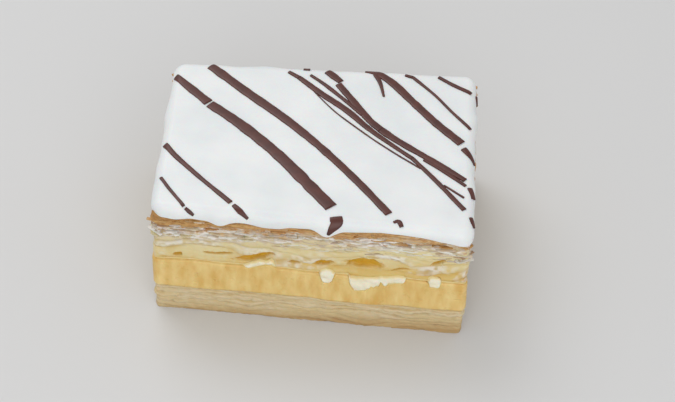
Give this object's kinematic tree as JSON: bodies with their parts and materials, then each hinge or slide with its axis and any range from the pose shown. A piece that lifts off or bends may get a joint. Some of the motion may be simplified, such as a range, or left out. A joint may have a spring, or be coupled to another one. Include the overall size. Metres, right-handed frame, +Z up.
{
  "type": "mille feuille slice",
  "caption": "Rectangular slice of layered puff pastry, set custard and cream under white icing feathered with chocolate.",
  "frame": {"origin": "on the surface that the slice stands on, under the middle of its bounding box", "axes": "+X along the long front cut, left to right; +Y from the front cut to the back one; +Z up, through the layers to the icing"},
  "size_m": [0.0972, 0.0714, 0.0443],
  "materials": {
    "base_pastry": "matte, flaky",
    "custard": "moist, soft sheen",
    "cream": "moist, soft sheen",
    "top_pastry": "matte, flaky",
    "icing": "smooth, soft gloss"
  },
  "bodies": {
    "root": {"base_pastry": "base_pastry", "custard": "custard", "cream": "cream", "top_pastry": "top_pastry", "icing": "icing"}
  },
  "joints": []
}
